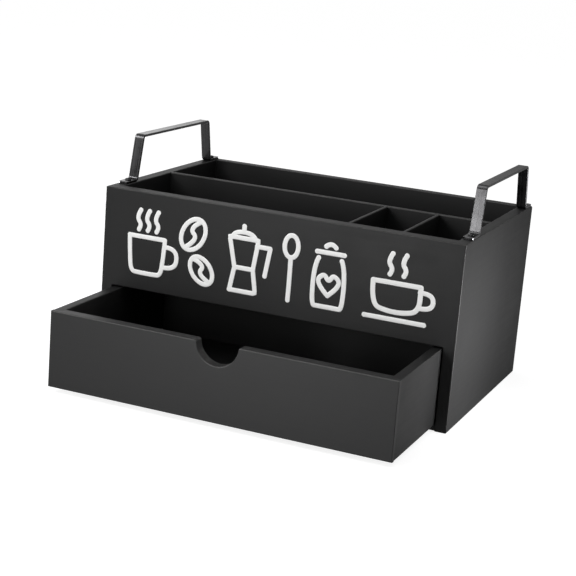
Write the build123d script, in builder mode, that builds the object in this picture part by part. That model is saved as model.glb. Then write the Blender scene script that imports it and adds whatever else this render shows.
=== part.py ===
from build123d import *
import os

# A countertop organizer: a divided tray over a drawer, with a flat bar handle on each side.
# Lengths are millimetres. The origin is the middle of the base, +Z is up and the drawer pulls out to -Y.

# Carcass
body_width = 380.0
body_depth = 240.0
body_height = 184.0
side_board = 12.0
front_board = 15.0
back_board = 12.0
floor_board = 6.0
base_board = 5.0
base_setback = 2.0
opening_height = 83.0
housing_depth = 4.0
arris_radius = 1.0
rear_top_radius = 3.0

# Tray dividers
divider_board = 6.0
short_divider_board = 3.5
small_bay_width = 52.0
divider_housing_depth = 2.0

# Drawer
drawer_pull = 118.0
drawer_front_board = 12.0
drawer_board = 10.0
drawer_side_gap = 1.0
drawer_floor_gap = 0.3
drawer_top_gap = 1.5
drawer_rear_gap = 1.0
drawer_rabbet_depth = 7.0
notch_radius = 21.5
notch_lip_radius = 2.5
bottom_panel = 3.0
bottom_panel_lift = 5.0
groove_depth = 4.0
groove_end_gap = 0.3

# Handles
bar_width = 10.5
bar_thickness = 2.5
bar_edge_chamfer = 0.35
bend_radius = 2.5
handle_height = 47.5
heel_span = 170.0
shoulder_span = 150.0
handle_rear_margin = 3.0
foot_length = 22.0
foot_corner_radius = 2.5

# Handle screws
screw_radius = 1.6
screw_length = 14.0
screw_point_length = 3.0
screw_gap = 0.2
pilot_gap = 0.05
head_radius = 3.3
head_rim = 0.9
head_crown_radius = 2.3
head_height = 1.9
recess_span = 3.4
recess_width = 0.9
recess_depth = 1.0

# Brads that hold the boards, cut from flat wire, set below the face and filled over
brad_width = 1.3
brad_thickness = 1.0
brad_length = 25.0
brad_set = 1.0
brad_margin = 16.0

# Places that the carcass boards share
half_width = body_width / 2
front_y = -body_depth / 2
rear_y = body_depth / 2
side_inner_x = half_width - side_board
front_inner_y = front_y + front_board
back_inner_y = rear_y - back_board
floor_top_z = opening_height + floor_board
divider_front_y = -divider_board / 2
outer_divider_x = side_inner_x - small_bay_width - short_divider_board / 2
inner_divider_x = outer_divider_x - small_bay_width - short_divider_board
short_divider_spans = [
    (x - short_divider_board / 2, x + short_divider_board / 2) for x in (inner_divider_x, outer_divider_x)
]

# Places in the drawer, as it stands partly open
drawer_outer_x = side_inner_x - drawer_side_gap
drawer_inner_x = drawer_outer_x - drawer_board
drawer_low_z = base_board + drawer_floor_gap
drawer_top_z = opening_height - drawer_top_gap
drawer_front_y = front_y - drawer_pull
drawer_rear_y = back_inner_y - drawer_rear_gap - drawer_pull
drawer_front_inner_y = drawer_front_y + drawer_front_board
drawer_back_inner_y = drawer_rear_y - drawer_board
drawer_side_start_y = drawer_front_inner_y - drawer_rabbet_depth
groove_low_z = drawer_low_z + bottom_panel_lift
groove_reach_x = drawer_inner_x + groove_depth
groove_front_y = drawer_front_inner_y - groove_depth
groove_rear_y = drawer_back_inner_y + groove_depth

# Places on the handles
handle_x = half_width - side_board / 2
foot_middle_z = body_height + bar_thickness / 2
top_bar_z = body_height + handle_height - bar_thickness / 2
foot_end_reach = heel_span / 2 + foot_length
handle_middle_y = rear_y - handle_rear_margin - foot_end_reach
screw_reach = heel_span / 2 + foot_length / 2
screw_places = [(handle_x, handle_middle_y + way * screw_reach) for way in (-1, 1)]


def spread(low, high, count):
    """Even places between two ends, a margin in from each."""
    first = low + brad_margin
    step = (high - low - 2 * brad_margin) / (count - 1)
    return [first + step * turn for turn in range(count)]


def section(near, far, low, high, rounds):
    """A board's section, from near to far and from low to high. rounds gives each eased corner's radius."""
    with BuildSketch() as outline:
        with Locations(((near + far) / 2, (low + high) / 2)):
            Rectangle(far - near, high - low)
        for corner, radius in rounds.items():
            fillet(outline.vertices().sort_by_distance(corner)[0], radius)
    return outline.sketch


def housed_board(start, run, tongue, exposed, housed):
    """A board that runs between two walls, with a tongue at each end that fills its housing there."""
    with BuildPart() as board:
        with BuildSketch(start):
            add(exposed)
        extrude(amount=run)
        for wall, reach in ((start, -tongue), (start.offset(run), tongue)):
            with BuildSketch(wall):
                add(housed)
            extrude(amount=reach)
    return board.part


def carcass_brad_rods(gap):
    """The brads through the sides and the front, or with a gap the slots that they sit in."""
    places = [((front_y + front_inner_y) / 2, z) for z in spread(opening_height, body_height, 3)]
    places += [((rear_y + back_inner_y) / 2, z) for z in spread(0, body_height, 4)]
    places += [(y, opening_height + floor_board / 2) for y in spread(front_inner_y, back_inner_y, 4)]
    places += [(y, base_board / 2) for y in spread(front_inner_y, back_inner_y, 4)]
    places += [(0, z) for z in spread(floor_top_z, body_height, 2)]
    divider_places = [(inner_divider_x, z) for z in spread(floor_top_z, body_height, 2)]
    divider_places += [(outer_divider_x, z) for z in spread(floor_top_z, body_height, 2)]
    with BuildPart() as rods:
        with BuildSketch(Plane.YZ.offset(half_width - brad_set)):
            with Locations(*places):
                Rectangle(brad_thickness + 2 * gap, brad_width + 2 * gap)
        extrude(amount=-(brad_length + gap))
        mirror(about=Plane.YZ)
        with BuildSketch(Plane.XZ.offset(-front_y - brad_set)):
            with Locations(*divider_places):
                Rectangle(brad_thickness + 2 * gap, brad_width + 2 * gap)
        extrude(amount=-(brad_length + gap))
    return rods.part


def drawer_brad_rods(gap):
    """The brads through the drawer's sides, or with a gap the slots that they sit in."""
    rows = (drawer_front_inner_y - drawer_rabbet_depth / 2, drawer_rear_y - drawer_board / 2)
    with BuildPart() as rods:
        with BuildSketch(Plane.YZ.offset(drawer_outer_x - brad_set)):
            with Locations(*[(y, z) for y in rows for z in spread(drawer_low_z, drawer_top_z, 2)]):
                Rectangle(brad_thickness + 2 * gap, brad_width + 2 * gap)
        extrude(amount=-(brad_length + gap))
        mirror(about=Plane.YZ)
    return rods.part


carcass_brad_slots = carcass_brad_rods(pilot_gap)
drawer_brad_slots = drawer_brad_rods(pilot_gap)

# Side walls, with housings for the boards that end in them
with BuildPart() as right_side:
    with BuildSketch(Plane.YZ.offset(side_inner_x)):
        add(section(front_y, rear_y, 0, body_height, {(rear_y, body_height): rear_top_radius}))
    extrude(amount=side_board)
    with BuildSketch(Plane.YZ.offset(side_inner_x)):
        add(section(front_y, front_inner_y, opening_height, body_height, {}))
        add(section(back_inner_y, rear_y, 0, body_height, {}))
        add(section(front_inner_y, back_inner_y, opening_height, floor_top_z, {}))
        add(section(divider_front_y, -divider_front_y, floor_top_z, body_height, {}))
    extrude(amount=housing_depth, mode=Mode.SUBTRACT)
    outer_edges = right_side.faces().sort_by(Axis.X)[-1].edges()
    front_edges = right_side.faces().sort_by(Axis.Y)[0].edges()
    front_top_edge = front_edges.group_by(Axis.Z)[-1]
    opening_edge = front_edges.filter_by(Axis.Z).group_by(Axis.X)[0]
    inner_top_edges = right_side.edges().filter_by(Axis.Y).group_by(Axis.Z)[-1].group_by(Axis.X)[0]
    fillet(outer_edges + front_top_edge + opening_edge + inner_top_edges, arris_radius)
    add(carcass_brad_slots, mode=Mode.SUBTRACT)
    with BuildSketch(Plane.XY.offset(body_height)):
        with Locations(*screw_places):
            Circle(screw_radius + pilot_gap)
    extrude(amount=-(screw_length - bar_thickness + pilot_gap), mode=Mode.SUBTRACT)

with BuildPart() as left_side:
    mirror(right_side.part, about=Plane.YZ)

# Front wall over the drawer opening, with housings for the two short dividers
front_rounds = {(front_y, body_height): arris_radius}
front_exposed_rounds = {
    (front_y, body_height): arris_radius,
    (front_inner_y, body_height): arris_radius,
    (front_y, opening_height): arris_radius,
}
with BuildPart() as front_panel:
    add(
        housed_board(
            Plane.YZ.offset(-side_inner_x),
            2 * side_inner_x,
            housing_depth,
            section(front_y, front_inner_y, opening_height, body_height, front_exposed_rounds),
            section(front_y, front_inner_y, opening_height, body_height, front_rounds),
        )
    )
    with BuildSketch(Plane.XZ.offset(-front_inner_y)):
        for low_x, high_x in short_divider_spans:
            add(section(low_x, high_x, floor_top_z, body_height, {}))
    extrude(amount=divider_housing_depth, mode=Mode.SUBTRACT)
    add(carcass_brad_slots, mode=Mode.SUBTRACT)

# Back wall, from the base to the rim
back_rounds = {(rear_y, body_height): rear_top_radius}
back_exposed_rounds = {(rear_y, body_height): rear_top_radius, (back_inner_y, body_height): arris_radius}
with BuildPart() as back_panel:
    add(
        housed_board(
            Plane.YZ.offset(-side_inner_x),
            2 * side_inner_x,
            housing_depth,
            section(back_inner_y, rear_y, 0, body_height, back_exposed_rounds),
            section(back_inner_y, rear_y, 0, body_height, back_rounds),
        )
    )
    add(carcass_brad_slots, mode=Mode.SUBTRACT)

# Floor of the tray, which is also the ceiling of the drawer bay
with BuildPart() as tray_floor:
    with BuildSketch(Plane.YZ.offset(-side_inner_x - housing_depth)):
        add(section(front_inner_y, back_inner_y, opening_height, floor_top_z, {}))
    extrude(amount=2 * (side_inner_x + housing_depth))
    add(carcass_brad_slots, mode=Mode.SUBTRACT)

# Base board, which the drawer slides on
with BuildPart() as base_panel:
    with BuildSketch(Plane.YZ.offset(-side_inner_x)):
        add(section(front_y + base_setback, back_inner_y, 0, base_board, {}))
    extrude(amount=2 * side_inner_x)
    add(carcass_brad_slots, mode=Mode.SUBTRACT)

# Dividers: a long one from side to side, and two short ones that split the right of the front bay
long_rounds = {(way * divider_front_y, body_height): arris_radius for way in (1, -1)}
with BuildPart() as long_divider:
    add(
        housed_board(
            Plane.YZ.offset(-side_inner_x),
            2 * side_inner_x,
            housing_depth,
            section(divider_front_y, -divider_front_y, floor_top_z, body_height, long_rounds),
            section(divider_front_y, -divider_front_y, floor_top_z, body_height, {}),
        )
    )
    with BuildSketch(Plane.XZ.offset(-divider_front_y)):
        for low_x, high_x in short_divider_spans:
            add(section(low_x, high_x, floor_top_z, body_height, {}))
    extrude(amount=-divider_housing_depth, mode=Mode.SUBTRACT)
    add(carcass_brad_slots, mode=Mode.SUBTRACT)

short_dividers = []
for low_x, high_x in short_divider_spans:
    rounds = {(low_x, body_height): arris_radius, (high_x, body_height): arris_radius}
    with BuildPart() as short_divider:
        add(
            housed_board(
                Plane.XZ.offset(-divider_front_y),
                divider_front_y - front_inner_y,
                divider_housing_depth,
                section(low_x, high_x, floor_top_z, body_height, rounds),
                section(low_x, high_x, floor_top_z, body_height, {}),
            )
        )
        add(carcass_brad_slots, mode=Mode.SUBTRACT)
    short_dividers.append(short_divider)

# Groove round the drawer that its bottom sits in
with BuildPart() as drawer_groove:
    with BuildSketch(Plane.YZ.offset(-groove_reach_x)):
        add(section(groove_front_y, groove_rear_y, groove_low_z, groove_low_z + bottom_panel, {}))
    extrude(amount=2 * groove_reach_x)

with BuildPart() as drawer_bottom:
    with BuildSketch(Plane.XY.offset(groove_low_z)):
        with Locations((0, (groove_front_y + groove_rear_y) / 2)):
            Rectangle(
                2 * (groove_reach_x - groove_end_gap),
                groove_rear_y - groove_front_y - 2 * groove_end_gap,
            )
    extrude(amount=bottom_panel)

# Drawer front, with the finger notch and a rabbet behind each end for the side boards
with BuildPart() as drawer_front:
    with BuildSketch(Plane.XZ.offset(-drawer_front_y)) as front_outline:
        add(section(-drawer_outer_x, drawer_outer_x, drawer_low_z, drawer_top_z, {}))
        with Locations((0, drawer_top_z)):
            Circle(notch_radius, mode=Mode.SUBTRACT)
        for way in (-1, 1):
            lip = front_outline.vertices().sort_by_distance((way * notch_radius, drawer_top_z))[0]
            fillet(lip, notch_lip_radius)
    extrude(amount=-drawer_front_board)
    with BuildSketch(Plane.XY.offset(drawer_low_z)):
        for way in (-1, 1):
            with Locations((way * (drawer_outer_x + drawer_inner_x) / 2, drawer_front_inner_y)):
                Rectangle(drawer_board, 2 * drawer_rabbet_depth)
    extrude(amount=drawer_top_z - drawer_low_z, mode=Mode.SUBTRACT)
    face_edges = drawer_front.faces().sort_by(Axis.Y)[0].edges()
    inner_face_edges = drawer_front.faces().sort_by(Axis.Y)[-1].edges()
    inner_rim_edges = inner_face_edges.filter_by(Axis.Z, reverse=True).sort_by(Axis.Z)[1:]
    fillet(face_edges + inner_rim_edges, arris_radius)
    add(drawer_groove.part, mode=Mode.SUBTRACT)
    add(drawer_brad_slots, mode=Mode.SUBTRACT)

# Drawer sides, which run into the rabbets of the front
outer_rounds = {(drawer_outer_x, drawer_top_z): arris_radius, (drawer_outer_x, drawer_low_z): arris_radius}
with BuildPart() as drawer_right_side:
    with BuildSketch(Plane.XZ.offset(-drawer_front_inner_y)):
        both_rounds = outer_rounds | {(drawer_inner_x, drawer_top_z): arris_radius}
        add(section(drawer_inner_x, drawer_outer_x, drawer_low_z, drawer_top_z, both_rounds))
    extrude(amount=-(drawer_rear_y - drawer_front_inner_y))
    with BuildSketch(Plane.XZ.offset(-drawer_front_inner_y)):
        add(section(drawer_inner_x, drawer_outer_x, drawer_low_z, drawer_top_z, outer_rounds))
    extrude(amount=drawer_rabbet_depth)
    add(drawer_groove.part, mode=Mode.SUBTRACT)
    add(drawer_brad_slots, mode=Mode.SUBTRACT)

with BuildPart() as drawer_left_side:
    mirror(drawer_right_side.part, about=Plane.YZ)

# Drawer back, held between the sides
drawer_back_rounds = {
    (drawer_back_inner_y, drawer_top_z): arris_radius,
    (drawer_rear_y, drawer_top_z): arris_radius,
}
with BuildPart() as drawer_back:
    with BuildSketch(Plane.YZ.offset(-drawer_inner_x)):
        add(section(drawer_back_inner_y, drawer_rear_y, drawer_low_z, drawer_top_z, drawer_back_rounds))
    extrude(amount=2 * drawer_inner_x)
    add(drawer_groove.part, mode=Mode.SUBTRACT)
    add(drawer_brad_slots, mode=Mode.SUBTRACT)

# Handles: flat bar bent up from two feet that lie on the side wall
with BuildPart() as right_handle:
    with BuildSketch(Plane.YZ.offset(handle_x)):
        with BuildLine() as bar_line:
            FilletPolyline(
                (handle_middle_y - foot_end_reach, foot_middle_z),
                (handle_middle_y - heel_span / 2, foot_middle_z),
                (handle_middle_y - shoulder_span / 2, top_bar_z),
                (handle_middle_y + shoulder_span / 2, top_bar_z),
                (handle_middle_y + heel_span / 2, foot_middle_z),
                (handle_middle_y + foot_end_reach, foot_middle_z),
                radius=bend_radius + bar_thickness / 2,
            )
        trace(line_width=bar_thickness)
    extrude(amount=bar_width / 2, both=True)
    fillet(right_handle.edges().filter_by(Axis.Z), foot_corner_radius)
    chamfer(right_handle.faces().filter_by(Axis.X).edges(), bar_edge_chamfer)
    with BuildSketch(Plane.XY.offset(body_height)):
        with Locations(*screw_places):
            Circle(screw_radius + screw_gap)
    extrude(amount=bar_thickness, mode=Mode.SUBTRACT)

with BuildPart() as left_handle:
    mirror(right_handle.part, about=Plane.YZ)

# Pan head screw, standing with the underside of its head at the origin
with BuildPart() as screw:
    with BuildSketch(Plane.XZ):
        with BuildLine():
            Polyline(
                (0, head_height),
                (0, -screw_length),
                (screw_radius, screw_point_length - screw_length),
                (screw_radius, 0),
                (head_radius, 0),
                (head_radius, head_rim),
                (head_crown_radius, head_height),
                close=True,
            )
        make_face()
    revolve(axis=Axis.Z)
    with BuildSketch(Plane.XY.offset(head_height)):
        Rectangle(recess_span, recess_width)
        Rectangle(recess_width, recess_span)
    extrude(amount=-recess_depth, mode=Mode.SUBTRACT)

with BuildPart() as handle_screws:
    with Locations(*[(way * x, y, body_height + bar_thickness) for way in (-1, 1) for x, y in screw_places]):
        add(screw.part)

with BuildPart() as carcass_brads:
    add(carcass_brad_rods(0))

with BuildPart() as drawer_brads:
    add(drawer_brad_rods(0))

pieces = {
    "right_side": right_side,
    "left_side": left_side,
    "front_panel": front_panel,
    "back_panel": back_panel,
    "tray_floor": tray_floor,
    "base_panel": base_panel,
    "long_divider": long_divider,
    "inner_short_divider": short_dividers[0],
    "outer_short_divider": short_dividers[1],
    "carcass_brads": carcass_brads,
    "drawer_front": drawer_front,
    "drawer_right_side": drawer_right_side,
    "drawer_left_side": drawer_left_side,
    "drawer_back": drawer_back,
    "drawer_bottom": drawer_bottom,
    "drawer_brads": drawer_brads,
    "right_handle": right_handle,
    "left_handle": left_handle,
    "handle_screws": handle_screws,
}
os.makedirs("parts", exist_ok=True)
for name, piece in pieces.items():
    piece.part.label = name
    export_step(piece.part, f"parts/{name}.step")
    solids = piece.part.solids()
    print(name, "solids", len(solids), "volume", round(piece.part.volume, 1), "valid", piece.part.is_valid)
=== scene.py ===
# %% [markdown]
# A countertop organizer in painted wood
#
# The object is a wooden box with an open, divided tray on top and one drawer below. The boards come
# ready made in the frame, at their real size, so this file is about what Blender adds to them: the satin
# paint, the blackened handles, the screws, and a line drawing in white paint on the front. Lengths are in
# metres and angles in radians, except where a name or a sentence says millimetres or degrees.

# %% Load the frame
import math

import bpy
from mathutils import Matrix, Vector


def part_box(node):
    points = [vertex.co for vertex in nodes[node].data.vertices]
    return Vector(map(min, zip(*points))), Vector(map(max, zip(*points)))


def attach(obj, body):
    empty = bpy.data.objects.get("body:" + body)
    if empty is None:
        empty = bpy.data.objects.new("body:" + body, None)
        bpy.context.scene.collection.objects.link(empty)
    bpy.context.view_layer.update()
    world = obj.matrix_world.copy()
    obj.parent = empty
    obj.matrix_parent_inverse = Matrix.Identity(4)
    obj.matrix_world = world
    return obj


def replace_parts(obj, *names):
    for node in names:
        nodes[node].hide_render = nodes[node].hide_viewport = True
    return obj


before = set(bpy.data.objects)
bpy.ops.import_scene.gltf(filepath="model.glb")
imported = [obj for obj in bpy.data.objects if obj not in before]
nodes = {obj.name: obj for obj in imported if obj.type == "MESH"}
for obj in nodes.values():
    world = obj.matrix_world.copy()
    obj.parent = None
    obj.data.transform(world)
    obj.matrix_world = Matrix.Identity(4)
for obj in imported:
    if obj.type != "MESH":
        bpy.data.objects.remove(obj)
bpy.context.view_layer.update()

# %% [markdown]
# The camera
#
# A product picture is taken from a little above and to one side, so that the front, one side and the
# inside all show. The camera could be tracked to an empty, but a tracked camera can't lean. Here its three
# axes are written out instead: "back" points from the object to the camera, "right" is level, and "up"
# follows from both. The lean then turns the last two about the first. A long lens keeps the box's edges
# nearly parallel. Directions are given in degrees, as a turn and a lift, here and for the sky and the lamps.

# %% Camera
camera_turn, camera_lift, camera_lean = 22.338, 14.388, 4.577
camera_distance = 1.5121
camera_aim = Vector((0.0041, -0.0893, 0.1046))
lens_millimetres = 95.075


def pointing(turn, lift):
    """A direction, turned from the front towards the right and lifted from level, in degrees."""
    turn, lift = math.radians(turn), math.radians(lift)
    return Vector((math.sin(turn) * math.cos(lift), -math.cos(turn) * math.cos(lift), math.sin(lift)))


back = pointing(camera_turn, camera_lift)
right = pointing(camera_turn + 90, 0)
lean = Matrix.Rotation(math.radians(camera_lean), 3, back)
axes = Matrix((lean @ right, lean @ back.cross(right), back)).transposed()
bpy.ops.object.camera_add(location=camera_aim + camera_distance * back, rotation=axes.to_euler())
camera = bpy.context.object
camera.data.lens = lens_millimetres
bpy.context.scene.camera = camera
bpy.context.scene.view_settings.view_transform = "Standard"
print("camera at", [round(v, 3) for v in camera.location])

# %% [markdown]
# Small helpers for pieces
#
# An operator works on everything that is selected, and the boards arrive selected. So each new piece
# starts by clearing the selection, and ends by applying its place, which leaves its object at the origin
# as every board's is. A pattern that reads Object coordinates then lies on it at the right scale.

# %% Helpers for pieces
def clear_selection():
    """Leaves nothing selected."""
    bpy.ops.object.select_all(action="DESELECT")


def only(piece):
    """Selects one piece alone and makes it the active one."""
    clear_selection()
    piece.select_set(True)
    bpy.context.view_layer.objects.active = piece


def joined(pieces, name):
    """Joins pieces into one object, with its place in its mesh."""
    clear_selection()
    for piece in pieces:
        piece.select_set(True)
    bpy.context.view_layer.objects.active = pieces[0]
    bpy.ops.object.join()
    whole = bpy.context.object
    bpy.ops.object.transform_apply(location=True, rotation=True, scale=True)
    whole.name = name
    return whole


def report(piece):
    """Prints a piece's size in millimetres and its count of faces."""
    size = [round(1000 * length, 2) for length in piece.dimensions]
    print(piece.name, "measures", size, "mm and has", len(piece.data.polygons), "faces")


clear_selection()

# %% [markdown]
# Small helpers for nodes
#
# A material is a small machine of nodes, and most of it is arithmetic. Each helper below adds one kind of
# node and wires it, so a material can be read as a list of steps. The mask made by "fade" is the one used
# most: it turns a stretch of one value into a stretch of another, and holds the ends.

# %% Helpers for nodes
def place(tree, kind, **values):
    """Adds a node and sets its plain inputs. An underscore in a name stands for a space."""
    made = tree.nodes.new(kind)
    for name, value in values.items():
        made.inputs[name.replace("_", " ")].default_value = value
    return made


def calculate(tree, operation, first, second):
    """Adds a Math node. Each of its two inputs is a socket or a number."""
    made = tree.nodes.new("ShaderNodeMath")
    made.operation = operation
    for socket, value in zip(made.inputs, (first, second)):
        if isinstance(value, (int, float)):
            socket.default_value = value
        else:
            tree.links.new(value, socket)
    return made.outputs[0]


def fade(tree, value, low, high, first=0, last=1):
    """Turns the range low to high into first to last, and holds the ends."""
    ramp = place(tree, "ShaderNodeMapRange", From_Min=low, From_Max=high, To_Min=first, To_Max=last)
    tree.links.new(value, ramp.inputs["Value"])
    return ramp.outputs["Result"]


def light_paths(tree):
    """Two masks: rays that come straight from the camera, and rays that leave a glossy or clear surface."""
    rays = tree.nodes.new("ShaderNodeLightPath").outputs
    mirrored = calculate(tree, "MAXIMUM", rays["Is Glossy Ray"], rays["Is Transmission Ray"])
    return rays["Is Camera Ray"], mirrored


# %% [markdown]
# Small helpers for materials
#
# Every material starts the same way, and most of them mix two colours and add a fine bump. The Mix node
# holds a socket of each kind for its inputs, and several share one name, so its colours are reached by
# their places in the list.

# %% Helpers for materials
mix_first, mix_second, mix_result = 6, 7, 2


def new_material(name):
    """Starts a material. Returns it with its node tree and its shader."""
    material = bpy.data.materials.new(name)
    material.use_nodes = True
    return material, material.node_tree, material.node_tree.nodes["Principled BSDF"]


def mix_colours(tree, share, first, second):
    """Mixes two colours by a mask. The first one is a socket or a colour."""
    made = tree.nodes.new("ShaderNodeMix")
    made.data_type = "RGBA"
    tree.links.new(share, made.inputs["Factor"])
    if isinstance(first, tuple):
        made.inputs[mix_first].default_value = first
    else:
        tree.links.new(first, made.inputs[mix_first])
    made.inputs[mix_second].default_value = second
    return made.outputs[mix_result]


def add_bump(tree, shader, height, strength, depth):
    """Turns a mask into small hills and hollows on the shader's surface."""
    bump = place(tree, "ShaderNodeBump", Strength=strength, Distance=depth)
    tree.links.new(height, bump.inputs["Height"])
    tree.links.new(bump.outputs["Normal"], shader.inputs["Normal"])


def dress(node_name, material):
    """Gives every slot of a board or fitting the same material."""
    for slot in nodes[node_name].material_slots:
        slot.material = material


# %% [markdown]
# The floor
#
# The picture has a white background with no horizon. A curved paper sweep would give it, and so does a
# wide floor under a white sky, which is simpler. The paper is a middle grey that glows. To the camera its
# glow is nearly white, and the light that falls on it does the rest, so the object's shadow still shows.
# In reflections the glow is faint, because satin black mirrors the floor that it stands on, and a white
# one would turn it grey.

# %% Floor
floor_size = 40
floor_drop = 0.0004
floor_colour = (0.4, 0.4, 0.4, 1)
floor_glow = 0.82
floor_glow_in_reflections = 0.1

bpy.ops.mesh.primitive_plane_add(size=floor_size, location=(0, 0, -floor_drop))
floor = bpy.context.object
floor.name = "floor"
paper, tree, shader = new_material("paper")
shader.inputs["Base Color"].default_value = floor_colour
shader.inputs["Roughness"].default_value = 1
shader.inputs["Specular IOR Level"].default_value = 0
shader.inputs["Emission Color"].default_value = (1, 1, 1, 1)
seen, mirrored = light_paths(tree)
glow = calculate(tree, "MAXIMUM",
                 calculate(tree, "MULTIPLY", seen, floor_glow),
                 calculate(tree, "MULTIPLY", mirrored, floor_glow_in_reflections))
tree.links.new(glow, shader.inputs["Emission Strength"])
floor.data.materials.append(paper)
report(floor)

# %% [markdown]
# The sky
#
# The sky does three jobs, and Light Path tells them apart. To the camera it is plain white. To rays that
# gather light it is a soft, even light. To rays that leave a glossy surface it is a room, with dim walls
# all round and one bright window at the rear left. The tops of the boards and bars mirror that window,
# and satin black takes most of its looks from such a room. A picture of a real room could stand in for it,
# but here only the light that the object needs is made.

# %% Sky
sky_light = 0.44
room_level = 0.2
window_turn, window_lift = 224, 12
window_inner, window_outer = math.radians(12), math.radians(30)
window_strength = 1.3

world = bpy.data.worlds.new("sky")
bpy.context.scene.world = world
world.use_nodes = True
tree = world.node_tree
sky = tree.nodes["Background"]
sky.inputs["Color"].default_value = (1, 1, 1, 1)
direction = tree.nodes.new("ShaderNodeTexCoord")
facing = tree.nodes.new("ShaderNodeVectorMath")
facing.operation = "DOT_PRODUCT"
tree.links.new(direction.outputs["Generated"], facing.inputs[0])
facing.inputs[1].default_value = pointing(window_turn, window_lift)
room = fade(tree, facing.outputs["Value"], math.cos(window_outer), math.cos(window_inner),
            room_level, room_level + window_strength)
seen, mirrored = light_paths(tree)
gathered = calculate(tree, "SUBTRACT", 1, mirrored)
unseen = calculate(tree, "ADD",
                   calculate(tree, "MULTIPLY", mirrored, room),
                   calculate(tree, "MULTIPLY", gathered, sky_light))
tree.links.new(calculate(tree, "MAXIMUM", unseen, seen), sky.inputs["Strength"])
print("the sky has", len(tree.nodes), "nodes")

# %% [markdown]
# The lamps
#
# Each lamp is an area light, as a softbox is. A dark satin surface shows a lamp mainly where it mirrors
# it, so each one stands where a certain surface needs it. The front one is mirrored by the right handle's
# front leg, and the low one by the drawer. The one overhead lights the inside, and the key lamp, high at
# the left, the white drawing. Three small ones with a narrow spread stand low at the right, the left and
# the rear. Each brightens its wall at one place and fades along it, as light from a real window does.

# %% Lamps
lamp_aim = Vector((0, -0.06, 0.11))
open_spread = 180
lamps = {
    "front": {"turn": -10, "lift": 12, "distance": 1.3, "size": (0.2, 0.34), "watts": 2.8},
    "low": {"turn": -9, "lift": -1, "distance": 0.72, "size": (0.22, 0.12), "watts": 0.62},
    "overhead": {"turn": 10, "lift": 78, "distance": 1.5, "size": (1.2, 1.2), "watts": 5},
    "right": {"turn": 90, "lift": -4, "distance": 0.5, "size": (0.16, 0.12), "watts": 0.42, "spread": 60},
    "left": {"turn": 262, "lift": -4, "distance": 0.6, "size": (0.24, 0.14), "watts": 0.4, "spread": 60},
    "rear": {"turn": 206, "lift": -4, "distance": 0.8, "size": (0.4, 0.14), "watts": 0.6, "spread": 70},
    "key": {"turn": -50, "lift": 35, "distance": 1.8, "size": (0.7, 0.7), "watts": 12},
}
for name, lamp in lamps.items():
    away = pointing(lamp["turn"], lamp["lift"])
    bpy.ops.object.light_add(type="AREA", location=lamp_aim + lamp["distance"] * away)
    light = bpy.context.object
    light.name = name + "_softbox"
    light.rotation_euler = away.to_track_quat("Z", "Y").to_euler()
    light.data.shape = "RECTANGLE"
    light.data.size, light.data.size_y = lamp["size"]
    light.data.energy = lamp["watts"]
    light.data.spread = math.radians(lamp.get("spread", open_spread))
    print(light.name, "at", [round(v, 2) for v in light.location])

# %% [markdown]
# Patterns that several finishes share
#
# Paint, steel and the drawing are different finishes, yet they share a few effects: cloudy patches, fine
# streaks in one direction, and edges that have been rubbed and painted lighter as highlights. Each effect
# is a node group, built once. A group hands over only a mask, and each material decides what to do with it.

# %% Helpers for groups
def new_group(name, inputs):
    """Starts a node group with number inputs, given with their usual values, and one mask as output."""
    tree = bpy.data.node_groups.new(name, "ShaderNodeTree")
    for label, value in inputs.items():
        socket = tree.interface.new_socket(label, in_out="INPUT", socket_type="NodeSocketFloat")
        socket.default_value = value
    tree.interface.new_socket("Mask", in_out="OUTPUT", socket_type="NodeSocketFloat")
    return tree, tree.nodes.new("NodeGroupInput"), tree.nodes.new("NodeGroupOutput")


def mask_from(tree, group, **values):
    """Places a group in a material, with its own values, and returns its mask."""
    made = tree.nodes.new("ShaderNodeGroup")
    made.node_tree = group
    for name, value in values.items():
        made.inputs[name.replace("_", " ")].default_value = value
    return made.outputs["Mask"]


# %% [markdown]
# Cloudy patches
#
# Sprayed paint and rubbed steel are never even: they have soft patches that shine a little more. A painted
# image could hold them, but plain noise has no seams and stays sharp at any distance. Noise seldom comes
# near 0 or 1, so the part that it does use is stretched to the full range.

# %% Clouds
noise_low, noise_high = 0.3, 0.7

clouds, clouds_in, clouds_out = new_group("clouds", {"Patch Size": 0.03, "Detail": 3})
where = clouds.nodes.new("ShaderNodeTexCoord")
patches = place(clouds, "ShaderNodeTexNoise", Roughness=0.55)
clouds.links.new(where.outputs["Object"], patches.inputs["Vector"])
clouds.links.new(calculate(clouds, "DIVIDE", 1, clouds_in.outputs["Patch Size"]), patches.inputs["Scale"])
clouds.links.new(clouds_in.outputs["Detail"], patches.inputs["Detail"])
clouds.links.new(fade(clouds, patches.outputs["Fac"], noise_low, noise_high), clouds_out.inputs["Mask"])
print("clouds group has", len(clouds.nodes), "nodes")

# %% [markdown]
# Streaks
#
# Wood grain that shows through paint, and the marks of a brush on steel, are both noise that is stretched
# along one direction. Stretching is only a matter of scale: the coordinate that runs along the streak is
# multiplied by a small number and the other two by a large one.

# %% Streaks
streak_inputs = {"Along X": 1, "Along Y": 1, "Along Z": 1, "Detail": 4}

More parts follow.
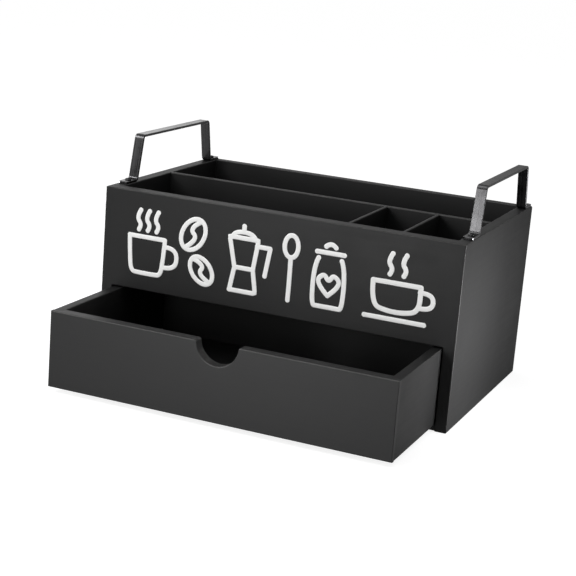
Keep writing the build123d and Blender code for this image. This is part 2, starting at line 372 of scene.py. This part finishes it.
streaks, streaks_in, streaks_out = new_group("streaks", streak_inputs)
where = streaks.nodes.new("ShaderNodeTexCoord")
split = streaks.nodes.new("ShaderNodeSeparateXYZ")
merge = streaks.nodes.new("ShaderNodeCombineXYZ")
streaks.links.new(where.outputs["Object"], split.inputs[0])
for axis in "XYZ":
    stretched = calculate(streaks, "MULTIPLY", split.outputs[axis], streaks_in.outputs["Along " + axis])
    streaks.links.new(stretched, merge.inputs[axis])
fibres = place(streaks, "ShaderNodeTexNoise", Scale=1, Roughness=0.6)
streaks.links.new(merge.outputs[0], fibres.inputs["Vector"])
streaks.links.new(streaks_in.outputs["Detail"], fibres.inputs["Detail"])
streaks.links.new(fade(streaks, fibres.outputs["Fac"], noise_low, noise_high), streaks_out.inputs["Mask"])
print("streaks group has", len(streaks.nodes), "nodes")

# %% [markdown]
# Rubbed edges and painted highlights
#
# Hands and cloths polish the edges first, and the mask also makes them lighter in colour, which paints a
# highlight along them. The flat faces here all look along X, Y or Z, and only the rounded edges look in
# between. So the largest of the normal's three parts is 1 on a face and less on an edge, which makes a
# mask with no painting by hand. Edges that look upwards have an amount of their own, so the painted
# highlight can be strongest along the tops. A fine noise then breaks the mask up, as real wear is never a
# clean line.

# %% Rubbed edges and painted highlights
face_part, edge_part = 0.99, 0.85
level_part, upward_part = 0.1, 0.5
wear_and_highlight_patches_per_metre = 160
wear_and_highlight_noise_low, wear_and_highlight_noise_high = 0.35, 0.65
least_wear_and_highlight = 0.35

# The mask marks wear and painted highlights on the edges alike.
edges, edges_in, edges_out = new_group("rubbed_and_highlit_edges", {"Amount": 1, "Amount Below": 0.3})
where = edges.nodes.new("ShaderNodeTexCoord")
split = edges.nodes.new("ShaderNodeSeparateXYZ")
edges.links.new(where.outputs["Normal"], split.inputs[0])
parts = [calculate(edges, "ABSOLUTE", split.outputs[axis], 0) for axis in "XYZ"]
largest = calculate(edges, "MAXIMUM", calculate(edges, "MAXIMUM", parts[0], parts[1]), parts[2])
turned = fade(edges, largest, face_part, edge_part)
upwards = fade(edges, split.outputs["Z"], level_part, upward_part)
amount = calculate(edges, "MULTIPLY", upwards, edges_in.outputs["Amount"])
amount = calculate(edges, "MAXIMUM", amount, edges_in.outputs["Amount Below"])
broken = place(edges, "ShaderNodeTexNoise", Scale=wear_and_highlight_patches_per_metre, Detail=4, Roughness=0.6)
edges.links.new(where.outputs["Object"], broken.inputs["Vector"])
patchy = fade(edges, broken.outputs["Fac"], wear_and_highlight_noise_low, wear_and_highlight_noise_high, least_wear_and_highlight, 1)
worn_and_highlit = calculate(edges, "MULTIPLY", turned, patchy)
edges.links.new(calculate(edges, "MULTIPLY", worn_and_highlit, amount), edges_out.inputs["Mask"])
print("rubbed edges group has", len(edges.nodes), "nodes")

# %% [markdown]
# The black paint
#
# The boards are sprayed with a satin black. What the eye sees on such a board is mostly the room in the
# paint: the colour is nearly black, and the grey comes from a soft reflection that changes as the sheen
# does. So the cloudy patches go mainly into Roughness. A faint grain and a fine pimple, like orange peel,
# go into Bump. The grain follows each board's length, so there is one material for each direction. It
# changes 9 times in a metre along the board and 420 times across it. The rounded edges are a lighter
# grey, partly worn paint and partly a painted highlight. The drawer's front has one more material,
# because it is handled every day and shines a little more.

# %% Black paint
paint_colour = (0.006, 0.006, 0.0062, 1)
# The lighter edge colour is partly worn paint and partly a painted highlight.
rubbed_and_highlight_colour = (0.050, 0.049, 0.048, 1)
paint_gloss = 0.4
handled_gloss = 0.6
grain_along, grain_across = 9, 420
paint_cloud_size = 0.035
paint_peel_size = 0.0009
dull_sheen, bright_sheen = 0.55, 0.49
grain_in_sheen = 0.02
wear_and_highlight_above, wear_and_highlight_below = 1, 0.12
polish_on_edges = 0.1


def black_paint(name, along, gloss):
    """Satin black on a board whose grain runs along one axis."""
    material, tree, shader = new_material(name)
    shader.inputs["Specular IOR Level"].default_value = gloss
    grain_scales = {f"Along_{axis}": grain_along if axis == along else grain_across for axis in "XYZ"}
    grain = mask_from(tree, streaks, Detail=5, **grain_scales)
    cloud = mask_from(tree, clouds, Patch_Size=paint_cloud_size, Detail=3)
    peel = mask_from(tree, clouds, Patch_Size=paint_peel_size, Detail=2)
    rubbed_and_highlit = mask_from(tree, edges, Amount=wear_and_highlight_above, Amount_Below=wear_and_highlight_below)

    # Rounded edges take the lighter colour: partly wear, partly a painted highlight.
    tree.links.new(mix_colours(tree, rubbed_and_highlit, paint_colour, rubbed_and_highlight_colour), shader.inputs["Base Color"])

    sheen = fade(tree, cloud, 0, 1, dull_sheen, bright_sheen)
    sheen = calculate(tree, "ADD", sheen, fade(tree, grain, 0, 1, -grain_in_sheen, grain_in_sheen))
    sheen = calculate(tree, "SUBTRACT", sheen, calculate(tree, "MULTIPLY", rubbed_and_highlit, polish_on_edges))
    tree.links.new(sheen, shader.inputs["Roughness"])

    relief = calculate(tree, "MULTIPLY", calculate(tree, "ADD", grain, peel), 0.5)
    add_bump(tree, shader, relief, strength=0.25, depth=0.00006)
    return material


# %% Paint the boards
boards_by_paint = {
    ("black_paint_along_x", "X", paint_gloss): (
        "front_panel", "back_panel", "tray_floor", "base_panel", "long_divider",
        "drawer_back", "drawer_bottom",
    ),
    ("black_paint_along_y", "Y", paint_gloss): (
        "right_side", "left_side", "inner_short_divider", "outer_short_divider",
        "drawer_right_side", "drawer_left_side",
    ),
    ("black_paint_handled", "X", handled_gloss): ("drawer_front",),
}
for (name, along, gloss), boards in boards_by_paint.items():
    paint = black_paint(name, along, gloss)
    for board in boards:
        dress(board, paint)
    print(paint.name, "is on", len(boards), "boards")

# %% [markdown]
# Handles
#
# Each handle is one flat steel bar, bent up from two feet. It isn't painted but blackened, and before that
# it was drawn through a belt, so streaks run along it from end to end, round every bend. The bar lies in
# an upright plane, and only its width lies along X. Noise that changes fast along X and slowly along Y and
# Z, such as 700 and 9 times in a metre, therefore follows the bar everywhere, with no UV map. The edges
# are rubbed to a lighter grey, which also paints a highlight along them. The same recipe, with other
# streaks and less wear and painted highlight, serves the screws and the brads.

# %% Blackened steel
steel_colour = (0.056, 0.056, 0.057, 1)
streak_colour = (0.120, 0.118, 0.122, 1)
# The lighter edge grey is partly rubbed steel and partly a painted highlight.
rubbed_and_highlight_grey = (0.30, 0.30, 0.31, 1)
steel_cloud_size = 0.012
smooth_steel, rough_steel = 0.22, 0.36
cloud_in_roughness = 0.04


def blackened_steel(name, streak_scales, streak_share, wear_and_highlight):
    """Brushed dark steel: how the streaks run, how strong they are, and how far the edges are rubbed and
    painted lighter as a highlight.
    """
    material, tree, shader = new_material(name)
    shader.inputs["Metallic"].default_value = 1
    fine = mask_from(tree, streaks, Detail=6, **streak_scales)
    cloud = mask_from(tree, clouds, Patch_Size=steel_cloud_size, Detail=4)
    rubbed_and_highlit = mask_from(tree, edges, Amount=wear_and_highlight, Amount_Below=wear_and_highlight)

    streak = calculate(tree, "MULTIPLY", fine, streak_share)
    streaked = mix_colours(tree, streak, steel_colour, streak_colour)
    # The edges take the lighter grey, partly as wear and partly as a painted highlight.
    tree.links.new(mix_colours(tree, rubbed_and_highlit, streaked, rubbed_and_highlight_grey), shader.inputs["Base Color"])

    clouded = fade(tree, cloud, 0, 1, -cloud_in_roughness, cloud_in_roughness)
    roughness = calculate(tree, "ADD", fade(tree, fine, 0, 1, smooth_steel, rough_steel), clouded)
    tree.links.new(roughness, shader.inputs["Roughness"])
    add_bump(tree, shader, fine, strength=0.15, depth=0.00002)
    return material


# %% Blacken the handles
bar_streaks = {"Along_X": 700, "Along_Y": 9, "Along_Z": 9}

handle_steel = blackened_steel("handle_steel", bar_streaks, streak_share=0.7, wear_and_highlight=0.4)
for name in ("right_handle", "left_handle"):
    dress(name, handle_steel)
    print(name, "is dressed in", handle_steel.name)

# %% [markdown]
# Screws
#
# A pan head screw holds each foot. Its head starts as a flattened ball with the lower half cut off, as a
# real head is a blank that was pressed into a die. A lathe profile would do as well, but the ball is there
# in one step. Only one screw is modelled, and it stands at the origin until it is finished.

# %% Shape the head
head_radius = 0.0033
head_rim = 0.0007
head_dome = 0.0013

bpy.ops.mesh.primitive_uv_sphere_add(segments=32, ring_count=16, radius=head_radius)
head = bpy.context.object
bpy.ops.object.mode_set(mode="EDIT")
bpy.ops.mesh.select_all(action="SELECT")
bpy.ops.transform.resize(value=(1, 1, head_dome / head_radius))
bpy.ops.mesh.bisect(plane_co=(0, 0, 0), plane_no=(0, 0, 1), clear_inner=True)
bpy.ops.mesh.extrude_region_move(TRANSFORM_OT_translate={"value": (0, 0, -head_rim)})
bpy.ops.mesh.fill()
bpy.ops.mesh.select_all(action="SELECT")
bpy.ops.mesh.normals_make_consistent(inside=False)
bpy.ops.transform.translate(value=(0, 0, head_rim))
bpy.ops.object.mode_set(mode="OBJECT")
report(head)

# %% [markdown]
# The cross recess
#
# A real recess is punched into the finished head, and a Boolean does the same: two thin bars are taken out
# of the dome, one across the other. Modelling the cross face by face would give a cleaner mesh, but on a
# head this small the difference can't be seen.

# %% Cut the cross recess
recess_reach = 0.0017
recess_half_width = 0.00045
recess_depth = 0.0011

for quarter_turns in (0, 1):
    bpy.ops.mesh.primitive_cube_add(size=1, location=(0, 0, head_rim + head_dome))
    cutter = bpy.context.object
    cutter.scale = (2 * recess_reach, 2 * recess_half_width, 2 * recess_depth)
    cutter.rotation_euler = (0, 0, quarter_turns * math.pi / 2)
    cut = head.modifiers.new("recess", "BOOLEAN")
    cut.operation = "DIFFERENCE"
    cut.object = cutter
    only(head)
    bpy.ops.object.modifier_apply(modifier="recess")
    bpy.data.objects.remove(cutter)
report(head)

# %% [markdown]
# The shank
#
# The shank is hidden in the wood, so it is a plain rod with a point, and its thread is left out. The head
# catches the light at its rim, though, so all the sharp edges get a small bevel.

# %% Add the shank and round the edges
shank_radius = 0.0016
shank_length = 0.0125
point_length = 0.003
shank_sides = 24
edge_rounding, rounding_steps = 0.00012, 2
sharp_angle = math.radians(35)

bpy.ops.mesh.primitive_cylinder_add(
    vertices=shank_sides, radius=shank_radius, depth=shank_length, location=(0, 0, -shank_length / 2),
)
shank = bpy.context.object
bpy.ops.mesh.primitive_cone_add(
    vertices=shank_sides, radius1=shank_radius, radius2=0, depth=point_length,
    location=(0, 0, -shank_length - point_length / 2), rotation=(math.pi, 0, 0),
)
point = bpy.context.object
screw = joined([head, shank, point], "screw")
rounding = screw.modifiers.new("rounding", "BEVEL")
rounding.width = edge_rounding
rounding.segments = rounding_steps
rounding.limit_method = "ANGLE"
rounding.angle_limit = sharp_angle
bpy.ops.object.modifier_apply(modifier="rounding")
bpy.ops.object.shade_smooth_by_angle(angle=sharp_angle)
report(screw)

# %% [markdown]
# A screw in each foot
#
# The frame's box round the four screws gives their places, and its height less a head's gives the top of
# the feet. Nobody stops four screws at the same angle, so each copy is turned a little differently.

# %% Put a screw in each foot
head_height = 0.0019
screw_turns = (0.4, 1.1, 0.2, 0.8)
screw_streaks = {"Along_X": 500, "Along_Y": 500, "Along_Z": 500}

screws_low, screws_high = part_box("handle_screws")
foot_top = screws_high.z - head_height
left_to_right = (screws_low.x + head_radius, screws_high.x - head_radius)
front_to_back = (screws_low.y + head_radius, screws_high.y - head_radius)
places = [(x, y, foot_top) for y in front_to_back for x in left_to_right]
copies = []
for spot, turn in zip(places, screw_turns):
    twin = screw.copy()
    twin.data = screw.data.copy()
    bpy.context.scene.collection.objects.link(twin)
    twin.rotation_euler = (0, 0, turn)
    twin.location = spot
    copies.append(twin)
bpy.data.objects.remove(screw)
handle_screws = joined(copies, "screws")
handle_screws.data.materials.clear()
# The whole round head counts as an edge, so a little of the lighter grey, partly a painted highlight, covers
# it.
screw_steel = blackened_steel("screw_steel", screw_streaks, streak_share=0.3, wear_and_highlight=0.1)
handle_screws.data.materials.append(screw_steel)
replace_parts(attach(handle_screws, "carcass"), "handle_screws")
report(handle_screws)

# %% [markdown]
# Brads
#
# The brads sit inside the boards and never show. They still get a finish of their own, plain steel wire
# with fine streaks and no wear, so that nothing in the model is left in a flat colour.

# %% Brads
wire_streaks = {"Along_X": 90, "Along_Y": 900, "Along_Z": 900}

wire_steel = blackened_steel("brad_steel", wire_streaks, streak_share=1, wear_and_highlight=0)
for name in ("carcass_brads", "drawer_brads"):
    dress(name, wire_steel)
    print(name, "is dressed in", wire_steel.name)

# %% [markdown]
# The drawing on the front
#
# The front carries a line drawing in white paint, as if it had been made with a round brush. A drawing
# could be an image, but an image blurs close up. Here each line is a curve with a round bevel, like a bead
# squeezed out along it, and a small ball at each end rounds it off. The whole drawing is later pressed
# nearly flat against the board. Its points are given in millimetres: how far right of the middle, and how
# far above the drawing's foot.

# %% Brush lines
line_width = 0.0050
line_steps, line_roundness = 10, 3
ball_segments, ball_rings = 16, 8
lines = []


def in_metres(x, height):
    """A point of the drawing as a place in space, before the drawing is put on the board."""
    return x / 1000, 0, height / 1000


def brush_line(points, closed=False, sharp=False):
    """One line of the drawing, as a list of the objects that it is made of."""
    data = bpy.data.curves.new("line", "CURVE")
    data.dimensions = "3D"
    data.bevel_depth = line_width / 2
    data.bevel_resolution = line_roundness
    data.resolution_u = line_steps
    data.use_fill_caps = True
    spline = data.splines.new("NURBS")
    spline.points.add(len(points) - 1)
    for control, point in zip(spline.points, points):
        control.co = (*in_metres(*point), 1)
    spline.order_u = 2 if sharp else 3
    spline.use_endpoint_u = not closed
    spline.use_cyclic_u = closed
    line = bpy.data.objects.new("line", data)
    bpy.context.scene.collection.objects.link(line)
    only(line)
    bpy.ops.object.convert(target="MESH")
    made = [bpy.context.object]
    ends = set() if closed else {points[0], points[-1]}
    for end in sorted(ends):
        bpy.ops.mesh.primitive_uv_sphere_add(
            segments=ball_segments, ring_count=ball_rings, radius=line_width / 2, location=in_metres(*end),
        )
        made.append(bpy.context.object)
    return made


def draw(points, middle=0, **kind):
    """Adds a line to the drawing. Its points are measured from a middle, which may be moved along."""
    lines.extend(brush_line([(middle + x, height) for x, height in points], **kind))


# %% [markdown]
# Shapes that come back
#
# Ovals serve for the beans and the spoon, and steam rises from the mug and the cup. An oval is a ring of
# points. A wisp of steam has four, and each has its sway and its share of the rise. Both are worked out
# from a few sizes, so another one costs a single line.

# %% Ovals and steam
oval_points = 10
steam_sway = 3.2


def oval(x, height, reach, rise, tilt=0):
    """Points on an oval, for a closed line."""
    turns = [2 * math.pi * step / oval_points for step in range(oval_points)]
    ring = [(reach * math.cos(turn), rise * math.sin(turn)) for turn in turns]
    along, aside = math.cos(tilt), math.sin(tilt)
    return [(x + u * along - v * aside, height + u * aside + v * along) for u, v in ring]


def steam(x, height, rise):
    """Points on a wisp that sways once to each side."""
    sways = (0, 1, -1, 0.4)
    shares = (0, 0.25, 0.6, 1)
    return [(x + steam_sway * sway, height + rise * share) for sway, share in zip(sways, shares)]


# %% [markdown]
# The mug
#
# A curve of this kind is pulled towards its points and doesn't pass through them, which rounds every
# corner. A point that is given twice pulls harder and keeps its corner, as at the mug's rim.

# %% Mug
mug = -140
bowl = [(-20, 40), (-19, 22), (-17, 3), (-8, 2.5), (8, 2.5), (17, 3), (19, 22), (20, 40)]
rim = [(20, 40), (-20, 40)]
draw(bowl + rim, mug)
draw([(20, 33), (34, 34), (34, 11), (18.5, 12)], mug)
for shift in (-10, 0, 10):
    draw(steam(shift, 47, 20), mug)
print("mug:", len(lines), "pieces so far")

# %% [markdown]
# The beans
#
# Each bean is a tilted oval with a wavy line for its crease. The two lean opposite ways, as beans that
# were dropped do.

# %% Beans
draw(oval(-89, 51, 12.5, 18, -0.5), closed=True)
draw([(-81.5, 64.5), (-94, 57), (-83, 47), (-96.5, 37.5)])
draw(oval(-78, 16, 11, 16, 0.7), closed=True)
draw([(-86.5, 26.5), (-74, 22), (-82, 12), (-69.5, 5.5)])
print("beans:", len(lines), "pieces so far")

# %% [markdown]
# The pot
#
# A stove-top pot has a waist and straight, angular walls, so its outline is drawn sharp, from point to
# point. Its lid, knob and handle are ordinary lines.

# %% Pot
pot = -32
draw([(-14, 2.5), (14, 2.5), (10, 26), (-10, 26), (-14, 2.5)], pot, sharp=True)
draw([(-10, 26), (-17, 56), (-17, 56), (14, 56), (14, 56), (10, 26)], pot, sharp=True)
draw([(-14, 56), (-12, 62), (9, 62), (11, 56)], pot)
draw([(-2, 62), (-2, 68)], pot)
draw([(13, 50), (27, 50), (27, 50), (23, 22)], pot)
print("pot:", len(lines), "pieces so far")

# %% [markdown]
# The spoon and the jar
#
# The spoon is an oval on a stem. The jar has a shoulder, a lid with a small handle, and a heart on its
# belly, which is one line that starts and ends at its lower tip.

# %% Spoon and jar
spoon = 17
draw(oval(0, 56, 7.5, 11.5), spoon, closed=True)
draw([(0, 44.5), (0.5, 20), (0, 2.5)], spoon)
jar = 58
draw([(-12, 50), (-16, 42), (-16, 2.5), (-10, 2.5), (10, 2.5), (16, 2.5), (16, 42), (12, 50)], jar)
draw([(-14, 56), (14, 56)], jar)
draw([(-5, 62), (0, 67), (5, 62)], jar)
draw([(0, 14), (-14, 26), (-5, 36), (0, 27), (5, 36), (14, 26), (0, 14)], jar)
print("spoon and jar:", len(lines), "pieces so far")

# %% [markdown]
# The cup and saucer
#
# The cup is wider and lower than the mug, and stands over a single line for its saucer. With it the
# drawing is complete, and all of its pieces are joined.

# %% Cup and saucer
cup = 127
draw([(-24, 38), (-24, 14), (-8, 10), (8, 10), (24, 14), (24, 38), (24, 38), (-24, 38)], cup)
draw([(23.5, 33), (37, 34), (37, 17), (22.5, 18)], cup)
draw([(-30, 2.5), (30, 2.5)], cup)
for shift in (-8, 6):
    draw(steam(shift, 46, 20), cup)
drawing = joined(lines, "drawing")
report(drawing)

# %% [markdown]
# From beads to paint
#
# Real paint on a board is a film, with a soft rim where the brush left off. The beads become that film
# when the drawing is squeezed along Y, and it is then set on the board's face. A flat cut-out would have
# a hard rim, and a painted image none at all.

# %% Press the lines flat on the board
paint_film = 0.00014
drawing_foot = 0.0985
panel_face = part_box("front_panel")[0].y

only(drawing)
bpy.ops.object.mode_set(mode="EDIT")
bpy.ops.mesh.select_all(action="SELECT")
bpy.ops.transform.resize(value=(1, paint_film / (line_width / 2), 1), center_override=(0, 0, 0))
bpy.ops.transform.translate(value=(0, panel_face, drawing_foot))
bpy.ops.object.mode_set(mode="OBJECT")
bpy.ops.object.shade_smooth()
report(drawing)

# %% [markdown]
# The white paint
#
# Brushed white over black is a little thin in places. A cloudy mask pulls the colour down slightly where
# the film is thin, and the same mask roughens it, as thin paint is always duller. The brush leaves fine
# ridges, which go into Bump.

# %% White paint
thin_white = (0.86, 0.86, 0.85, 1)
full_white = (0.92, 0.92, 0.91, 1)
thin_roughness, full_roughness = 0.6, 0.45
white_gloss = 0.4

white, tree, shader = new_material("white_paint")
shader.inputs["Specular IOR Level"].default_value = white_gloss
fullness = mask_from(tree, clouds, Patch_Size=0.006, Detail=5)
tree.links.new(mix_colours(tree, fullness, thin_white, full_white), shader.inputs["Base Color"])
tree.links.new(fade(tree, fullness, 0, 1, thin_roughness, full_roughness), shader.inputs["Roughness"])
brush_marks = mask_from(tree, clouds, Patch_Size=0.0007, Detail=3)
add_bump(tree, shader, brush_marks, strength=0.3, depth=0.00005)
drawing.data.materials.clear()
drawing.data.materials.append(white)
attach(drawing, "carcass")
print("the drawing is dressed in", white.name)
